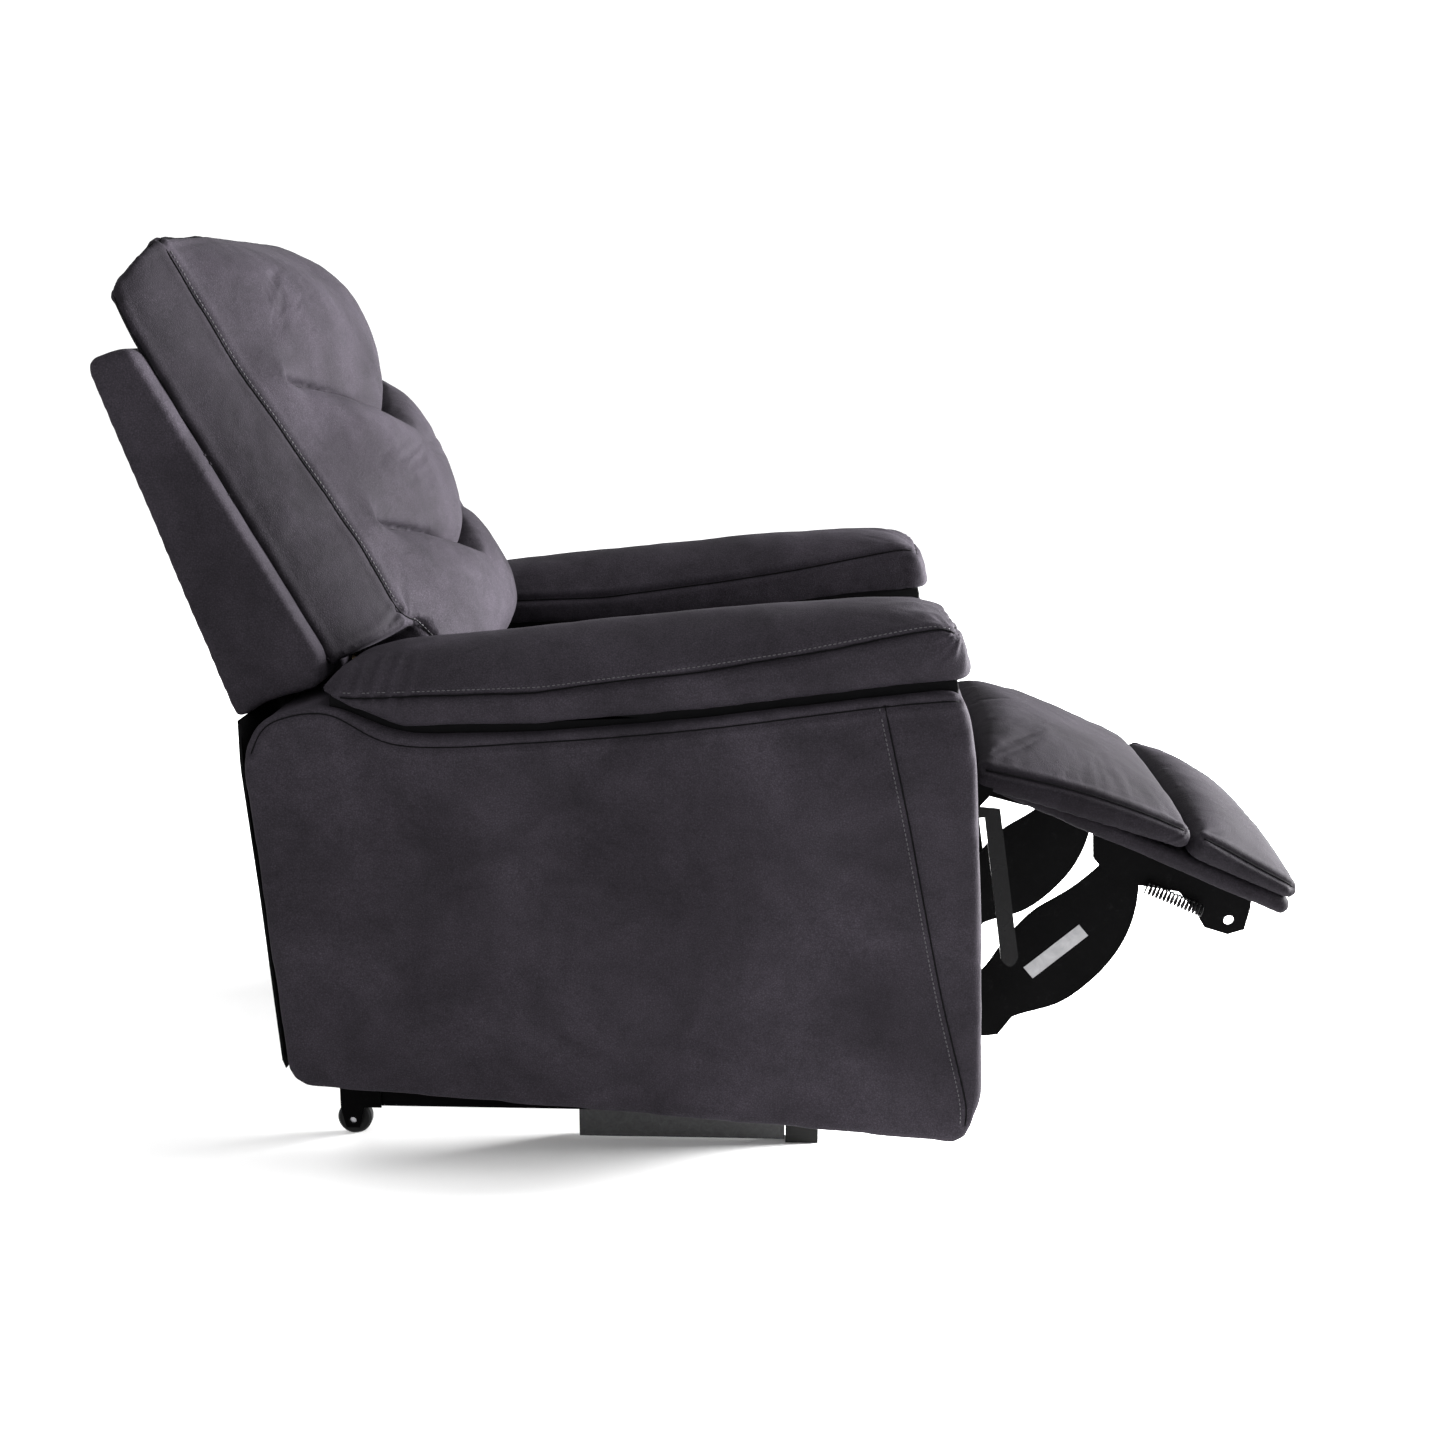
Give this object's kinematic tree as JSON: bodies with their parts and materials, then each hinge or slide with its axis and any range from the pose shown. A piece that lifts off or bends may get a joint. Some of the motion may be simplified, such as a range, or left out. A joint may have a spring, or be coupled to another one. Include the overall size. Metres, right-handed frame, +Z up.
{
  "type": "recliner armchair",
  "caption": "Padded recliner armchair with pillow arms, a bolstered reclining back and a fold-out footrest on steel links.",
  "frame": {"origin": "on the floor, at the middle of the chair's overall footprint in the stored pose (footrest open, back at its upright stop)", "axes": "+X the way the sitter faces, +Y to the sitter's left, +Z up"},
  "size_m": [1.3169, 0.82, 1.0243],
  "materials": {
    "upholstery": "matte faux suede",
    "timber": "raw",
    "black_steel": "satin",
    "bright_steel": "zinc",
    "rubber": "matte",
    "black_plastic": "fine grain",
    "label": "matte"
  },
  "bodies": {
    "base": {"arm_boards": "timber", "arm_bolts": "bright_steel", "arm_posts": "timber", "floor_rails": "black_steel", "floor_skids": "black_steel", "footrest_hinge_rod": "bright_steel", "front_cross_tube": "black_steel", "front_feet": "rubber", "left_arm_front_panel": "upholstery", "left_arm_inner_panel": "upholstery", "left_arm_outer_panel": "upholstery", "left_arm_pad": "upholstery", "left_side_plate": "black_steel", "pivot_pins": "bright_steel", "rear_cross_tube": "black_steel", "release_bezel": "black_plastic", "right_arm_front_panel": "upholstery", "right_arm_inner_panel": "upholstery", "right_arm_outer_panel": "upholstery", "right_arm_pad": "upholstery", "right_side_plate": "black_steel", "seat_cushion": "upholstery", "seat_front_rail": "timber", "seat_rear_rail": "timber", "seat_side_rails": "timber", "seat_springs": "bright_steel", "wheel_axles": "bright_steel", "wheel_forks": "black_steel"},
    "footrest": {"footrest_board": "timber", "calf_pad": "upholstery", "foot_pad": "upholstery", "footrest_hinge_lugs": "black_steel", "footrest_brackets": "black_steel", "footrest_springs": "bright_steel"},
    "right_crescent": {"right_crescent_link": "black_steel", "link_label": "label", "right_link_pins": "bright_steel"},
    "left_crescent": {"left_crescent_link": "black_steel", "left_link_pins": "bright_steel"},
    "front_linkage": {"front_links": "bright_steel", "torque_tube": "black_steel"},
    "right_rear_link": {"right_rear_link": "bright_steel"},
    "left_rear_link": {"left_rear_link": "bright_steel"},
    "backrest": {"back_posts": "timber", "back_top_rail": "timber", "back_lower_rail": "timber", "back_springs": "bright_steel", "back_hinge_brackets": "black_steel", "back_cushion_core": "upholstery", "head_bolster": "upholstery", "lumbar_bolster": "upholstery", "lower_bolster": "upholstery", "back_rear_panel": "upholstery", "back_side_panels": "upholstery", "back_top_panel": "upholstery"},
    "right_wheel": {"right_wheel": "black_plastic"},
    "left_wheel": {"left_wheel": "black_plastic"},
    "release": {"release_handle": "black_plastic"}
  },
  "joints": [
    {"name": "footrest_hinge", "type": "hinge", "parent": "base", "child": "footrest", "pos_m": [0.28, 0, 0.424], "axis": [0, 1, 0], "range_deg": [0, 66]},
    {"name": "right_crescent_pivot", "type": "hinge", "parent": "footrest", "child": "right_crescent", "pos_m": [0.452, 0, 0.322], "axis": [0, 1, 0], "range_deg": [-22.5, 0.5]},
    {"name": "left_crescent_pivot", "type": "hinge", "parent": "footrest", "child": "left_crescent", "pos_m": [0.452, 0, 0.322], "axis": [0, 1, 0], "range_deg": [-22.5, 0.5]},
    {"name": "front_link_pivot", "type": "hinge", "parent": "base", "child": "front_linkage", "pos_m": [0.22292, 0, 0.388], "axis": [0, 1, 0], "range_deg": [-0.5, 72.5]},
    {"name": "right_rear_link_pivot", "type": "hinge", "parent": "base", "child": "right_rear_link", "pos_m": [0.16411, 0, 0.288], "axis": [0, 1, 0], "range_deg": [-0.5, 105.2]},
    {"name": "left_rear_link_pivot", "type": "hinge", "parent": "base", "child": "left_rear_link", "pos_m": [0.16411, 0, 0.288], "axis": [0, 1, 0], "range_deg": [-0.5, 105.2]},
    {"name": "backrest_hinge", "type": "hinge", "parent": "base", "child": "backrest", "pos_m": [-0.435, 0, 0.478], "axis": [0, 1, 0], "range_deg": [-24, 0]},
    {"name": "right_wheel_spin", "type": "hinge", "parent": "base", "child": "right_wheel", "pos_m": [-0.443, 0, 0.02], "axis": [0, 1, 0], "continuous": true},
    {"name": "left_wheel_spin", "type": "hinge", "parent": "base", "child": "left_wheel", "pos_m": [-0.443, 0, 0.02], "axis": [0, 1, 0], "continuous": true},
    {"name": "release_pull", "type": "slide", "parent": "base", "child": "release", "axis": [1, 0, 0], "range_m": [0, 0.02]}
  ],
  "couplings": [
    {"joint": "right_crescent_pivot", "follows": "footrest_hinge", "ratio": -0.32576},
    {"joint": "left_crescent_pivot", "follows": "footrest_hinge", "ratio": -0.32576},
    {"joint": "front_link_pivot", "follows": "footrest_hinge", "ratio": 1.0839},
    {"joint": "right_rear_link_pivot", "follows": "footrest_hinge", "ratio": 1.5795},
    {"joint": "left_rear_link_pivot", "follows": "footrest_hinge", "ratio": 1.5795}
  ]
}
